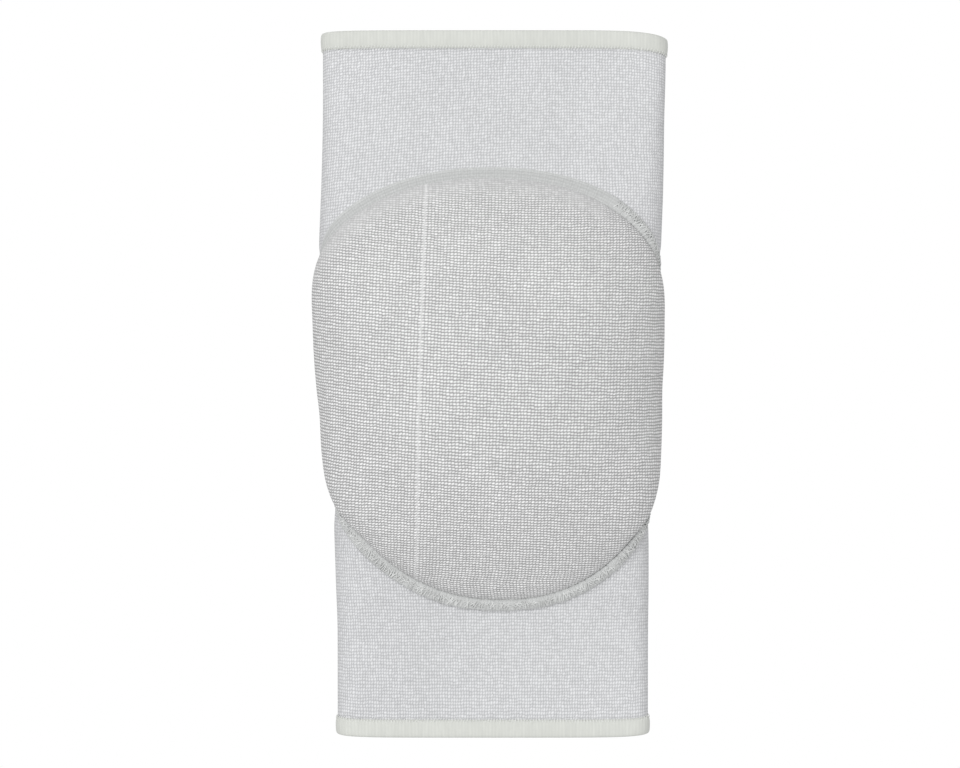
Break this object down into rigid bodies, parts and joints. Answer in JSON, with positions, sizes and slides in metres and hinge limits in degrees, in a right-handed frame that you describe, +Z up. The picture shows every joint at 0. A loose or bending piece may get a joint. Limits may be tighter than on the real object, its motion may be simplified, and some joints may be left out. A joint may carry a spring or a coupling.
{
  "type": "volleyball knee pad",
  "caption": "White knitted slip-on knee sleeve with ivory hems and a large oval foam pad under a coarser knitted cover, lying on its back with its ends half open.",
  "frame": {"origin": "on the surface the pad lies on, below the middle of its bounding box", "axes": "+Z up, away from the surface and out through the foam pad; +Y along the leg towards the thigh end; +X to the right of someone looking down on the pad with the thigh end away from them"},
  "size_m": [0.1266, 0.25, 0.0527],
  "materials": {
    "sleeve_knit": "fine white rib-free knit, matte, faintly bluish",
    "hem_knit": "smooth ivory elastic knit, turned over the edge and sewn",
    "pad_knit": "coarser white knit with clear courses, slightly lustrous yarn",
    "seam_thread": "overlocked white thread",
    "foam": "closed-cell foam, matte"
  },
  "bodies": {
    "root": {"sleeve": "sleeve_knit", "thigh_hem": "hem_knit", "calf_hem": "hem_knit", "foam_pad": "foam", "pad_cover": "pad_knit", "pad_seam": "seam_thread"}
  },
  "joints": []
}
